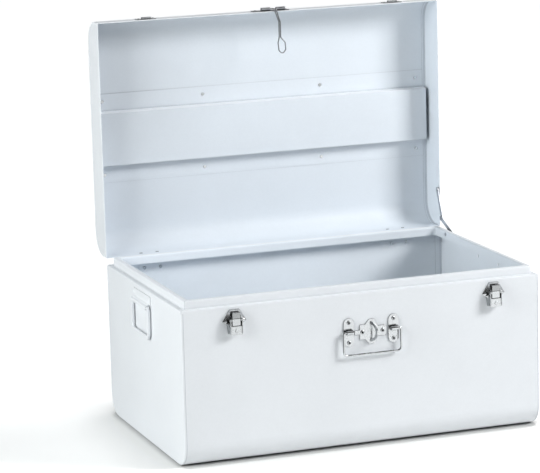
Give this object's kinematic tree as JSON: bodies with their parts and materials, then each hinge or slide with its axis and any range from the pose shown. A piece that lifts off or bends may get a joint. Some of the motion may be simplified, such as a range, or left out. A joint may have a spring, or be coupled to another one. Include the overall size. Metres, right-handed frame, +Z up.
{
  "type": "sheet metal storage trunk",
  "caption": "Small white sheet-metal trunk with a hinged flat-topped lid, folding stay, draw latches, wire hasp, padlock eye and carrying handles.",
  "frame": {"origin": "middle of the underside, on the surface that the trunk stands on", "axes": "+X along the trunk's length to the right as seen from the front, -Y to the front, +Z up"},
  "size_m": [0.6164, 0.4639, 0.6556],
  "materials": {
    "white_paint": "smooth satin powder coat, white with a faint blue cast",
    "zinc_plate": "bright zinc plate",
    "stay_steel": "pale zinc-plated strip"
  },
  "bodies": {
    "trunk": {"body_wrap": "white_paint", "left_end_panel": "white_paint", "right_end_panel": "white_paint", "hinge_body_leaves": "zinc_plate", "hinge_pins": "zinc_plate", "hinge_body_rivets": "zinc_plate", "latch_bases": "zinc_plate", "latch_base_rivets": "zinc_plate", "latch_pivot_pins": "zinc_plate", "handle_plates": "zinc_plate", "handle_rivets": "zinc_plate", "eye_plate": "zinc_plate", "eye_rivets": "zinc_plate", "left_handle_bracket": "white_paint", "right_handle_bracket": "white_paint", "side_handle_rivets": "white_paint", "stay_body_rivet": "stay_steel"},
    "lid": {"lid_skin": "white_paint", "lid_left_end": "white_paint", "lid_right_end": "white_paint", "lid_stiffener": "white_paint", "stiffener_rivets": "white_paint", "hinge_lid_leaves": "zinc_plate", "hinge_lid_rivets": "zinc_plate", "latch_strikes": "zinc_plate", "latch_strike_rivets": "zinc_plate", "hasp_plate": "zinc_plate", "hasp_rivets": "zinc_plate", "stay_lid_rivet": "stay_steel"},
    "left_latch_lever": {"left_latch_lever": "zinc_plate", "left_link_pin": "zinc_plate"},
    "right_latch_lever": {"right_latch_lever": "zinc_plate", "right_link_pin": "zinc_plate"},
    "left_latch_link": {"left_latch_link": "zinc_plate"},
    "right_latch_link": {"right_latch_link": "zinc_plate"},
    "front_bail": {"front_bail": "zinc_plate"},
    "left_side_bail": {"left_side_bail": "white_paint"},
    "right_side_bail": {"right_side_bail": "white_paint"},
    "hasp_loop": {"hasp_loop": "zinc_plate"},
    "stay_upper_link": {"stay_upper_link": "stay_steel"},
    "stay_lower_link": {"stay_lower_link": "stay_steel"}
  },
  "joints": [
    {"name": "lid_hinge", "type": "hinge", "parent": "trunk", "child": "lid", "pos_m": [0, 0.2, 0.254], "axis": [1, 0, 0], "range_deg": [0, 90]},
    {"name": "left_latch_lever_pivot", "type": "hinge", "parent": "trunk", "child": "left_latch_lever", "pos_m": [-0.214, -0.203, 0.2294], "axis": [-1, 0, 0], "range_deg": [0, 105]},
    {"name": "left_latch_link_pivot", "type": "hinge", "parent": "left_latch_lever", "child": "left_latch_link", "pos_m": [-0.214, -0.203, 0.2229], "axis": [-1, 0, 0], "range_deg": [-105, 0]},
    {"name": "right_latch_lever_pivot", "type": "hinge", "parent": "trunk", "child": "right_latch_lever", "pos_m": [0.22, -0.203, 0.2294], "axis": [-1, 0, 0], "range_deg": [0, 105]},
    {"name": "right_latch_link_pivot", "type": "hinge", "parent": "right_latch_lever", "child": "right_latch_link", "pos_m": [0.22, -0.203, 0.2229], "axis": [-1, 0, 0], "range_deg": [-105, 0]},
    {"name": "front_bail_swing", "type": "hinge", "parent": "trunk", "child": "front_bail", "pos_m": [0.0105, -0.2015, 0.1895], "axis": [-1, 0, 0], "range_deg": [-7, 165]},
    {"name": "left_side_bail_swing", "type": "hinge", "parent": "trunk", "child": "left_side_bail", "pos_m": [-0.3047, 0, 0.2235], "axis": [0, 1, 0], "range_deg": [0, 140]},
    {"name": "right_side_bail_swing", "type": "hinge", "parent": "trunk", "child": "right_side_bail", "pos_m": [0.3047, 0, 0.2235], "axis": [0, -1, 0], "range_deg": [0, 140]},
    {"name": "hasp_swing", "type": "hinge", "parent": "lid", "child": "hasp_loop", "pos_m": [0.005, 0.2, 0.653], "axis": [1, 0, 0], "range_deg": [-108, 0]},
    {"name": "stay_lid_pivot", "type": "hinge", "parent": "lid", "child": "stay_upper_link", "pos_m": [0.296, 0.2003, 0.3239], "axis": [1, 0, 0], "range_deg": [0, 27]},
    {"name": "stay_body_pivot", "type": "hinge", "parent": "trunk", "child": "stay_lower_link", "pos_m": [0.2938, 0.134, 0.258], "axis": [1, 0, 0], "range_deg": [-23.4, 0]}
  ],
  "couplings": [
    {"joint": "hasp_swing", "follows": "lid_hinge", "ratio": -1.2},
    {"joint": "stay_lid_pivot", "follows": "lid_hinge", "ratio": 0.3},
    {"joint": "stay_body_pivot", "follows": "lid_hinge", "ratio": -0.26},
    {"joint": "left_latch_link_pivot", "follows": "left_latch_lever_pivot", "ratio": -1},
    {"joint": "right_latch_link_pivot", "follows": "right_latch_lever_pivot", "ratio": -1}
  ]
}
